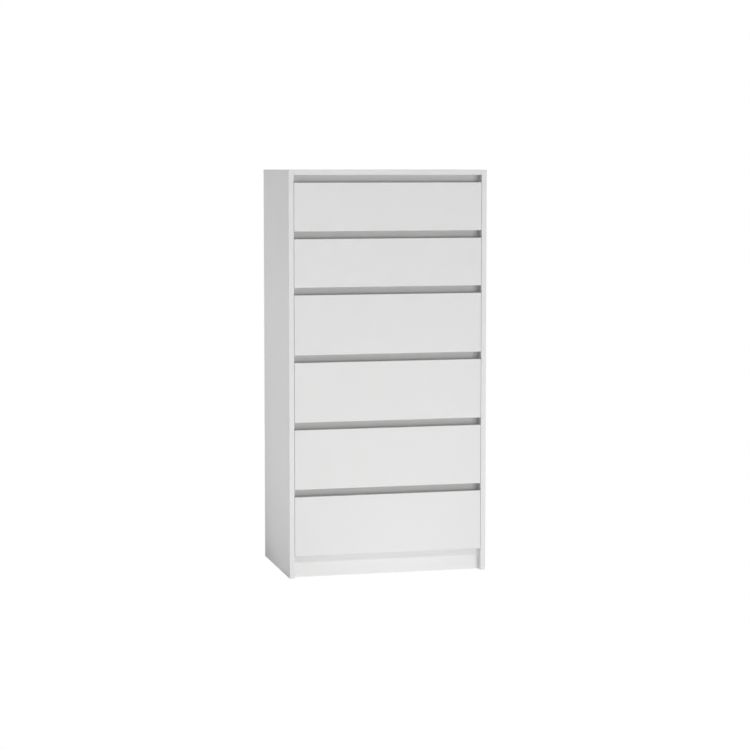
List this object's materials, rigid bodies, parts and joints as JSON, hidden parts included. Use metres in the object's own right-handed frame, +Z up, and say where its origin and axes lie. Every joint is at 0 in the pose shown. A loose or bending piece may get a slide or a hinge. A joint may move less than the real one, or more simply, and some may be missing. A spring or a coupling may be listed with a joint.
{
  "type": "chest of drawers",
  "caption": "Tall, narrow white chest whose full-width, handle-less drawers slide out by finger gaps above their fronts, on a set-back plinth.",
  "frame": {"origin": "on the floor, under the middle of the chest", "axes": "+Z up, -Y the way the drawers open, +X to the right of somebody facing the fronts"},
  "size_m": [0.6, 0.38, 1.2],
  "materials": {
    "white_board": "particle board with smooth satin white melamine foil and edge band",
    "drawer_board": "thin particle board with matt white foil",
    "white_hardboard": "hardboard, painted white on the side that shows",
    "white_steel": "white epoxy-coated steel, with white nylon glides",
    "zinc": "zinc-plated steel and die-cast zinc",
    "beech": "fluted beech dowels"
  },
  "bodies": {
    "carcass": {"side_panel_left": "white_board", "side_panel_right": "white_board", "top_panel": "white_board", "bottom_panel": "white_board", "plinth": "white_board", "back_panel": "white_hardboard", "cross_rail_1": "white_board", "cross_rail_2": "white_board", "cross_rail_3": "white_board", "cross_rail_4": "white_board", "cross_rail_5": "white_board", "cross_rail_6": "white_board", "cabinet_runners_left": "white_steel", "cabinet_runners_right": "white_steel", "cam_fittings": "zinc", "dowels": "beech", "runner_screws": "zinc", "wall_brackets": "zinc"},
    "drawer_1": {"drawer_1_front": "white_board", "drawer_1_side_left": "drawer_board", "drawer_1_side_right": "drawer_board", "drawer_1_back": "drawer_board", "drawer_1_bottom": "white_hardboard", "drawer_1_runners": "white_steel", "drawer_1_fittings": "zinc"},
    "drawer_2": {"drawer_2_front": "white_board", "drawer_2_side_left": "drawer_board", "drawer_2_side_right": "drawer_board", "drawer_2_back": "drawer_board", "drawer_2_bottom": "white_hardboard", "drawer_2_runners": "white_steel", "drawer_2_fittings": "zinc"},
    "drawer_3": {"drawer_3_front": "white_board", "drawer_3_side_left": "drawer_board", "drawer_3_side_right": "drawer_board", "drawer_3_back": "drawer_board", "drawer_3_bottom": "white_hardboard", "drawer_3_runners": "white_steel", "drawer_3_fittings": "zinc"},
    "drawer_4": {"drawer_4_front": "white_board", "drawer_4_side_left": "drawer_board", "drawer_4_side_right": "drawer_board", "drawer_4_back": "drawer_board", "drawer_4_bottom": "white_hardboard", "drawer_4_runners": "white_steel", "drawer_4_fittings": "zinc"},
    "drawer_5": {"drawer_5_front": "white_board", "drawer_5_side_left": "drawer_board", "drawer_5_side_right": "drawer_board", "drawer_5_back": "drawer_board", "drawer_5_bottom": "white_hardboard", "drawer_5_runners": "white_steel", "drawer_5_fittings": "zinc"},
    "drawer_6": {"drawer_6_front": "white_board", "drawer_6_side_left": "drawer_board", "drawer_6_side_right": "drawer_board", "drawer_6_back": "drawer_board", "drawer_6_bottom": "white_hardboard", "drawer_6_runners": "white_steel", "drawer_6_fittings": "zinc"}
  },
  "joints": [
    {"name": "drawer_1_slide", "type": "slide", "parent": "carcass", "child": "drawer_1", "axis": [0, -1, 0], "range_m": [0, 0.28]},
    {"name": "drawer_2_slide", "type": "slide", "parent": "carcass", "child": "drawer_2", "axis": [0, -1, 0], "range_m": [0, 0.28]},
    {"name": "drawer_3_slide", "type": "slide", "parent": "carcass", "child": "drawer_3", "axis": [0, -1, 0], "range_m": [0, 0.28]},
    {"name": "drawer_4_slide", "type": "slide", "parent": "carcass", "child": "drawer_4", "axis": [0, -1, 0], "range_m": [0, 0.28]},
    {"name": "drawer_5_slide", "type": "slide", "parent": "carcass", "child": "drawer_5", "axis": [0, -1, 0], "range_m": [0, 0.28]},
    {"name": "drawer_6_slide", "type": "slide", "parent": "carcass", "child": "drawer_6", "axis": [0, -1, 0], "range_m": [0, 0.28]}
  ]
}
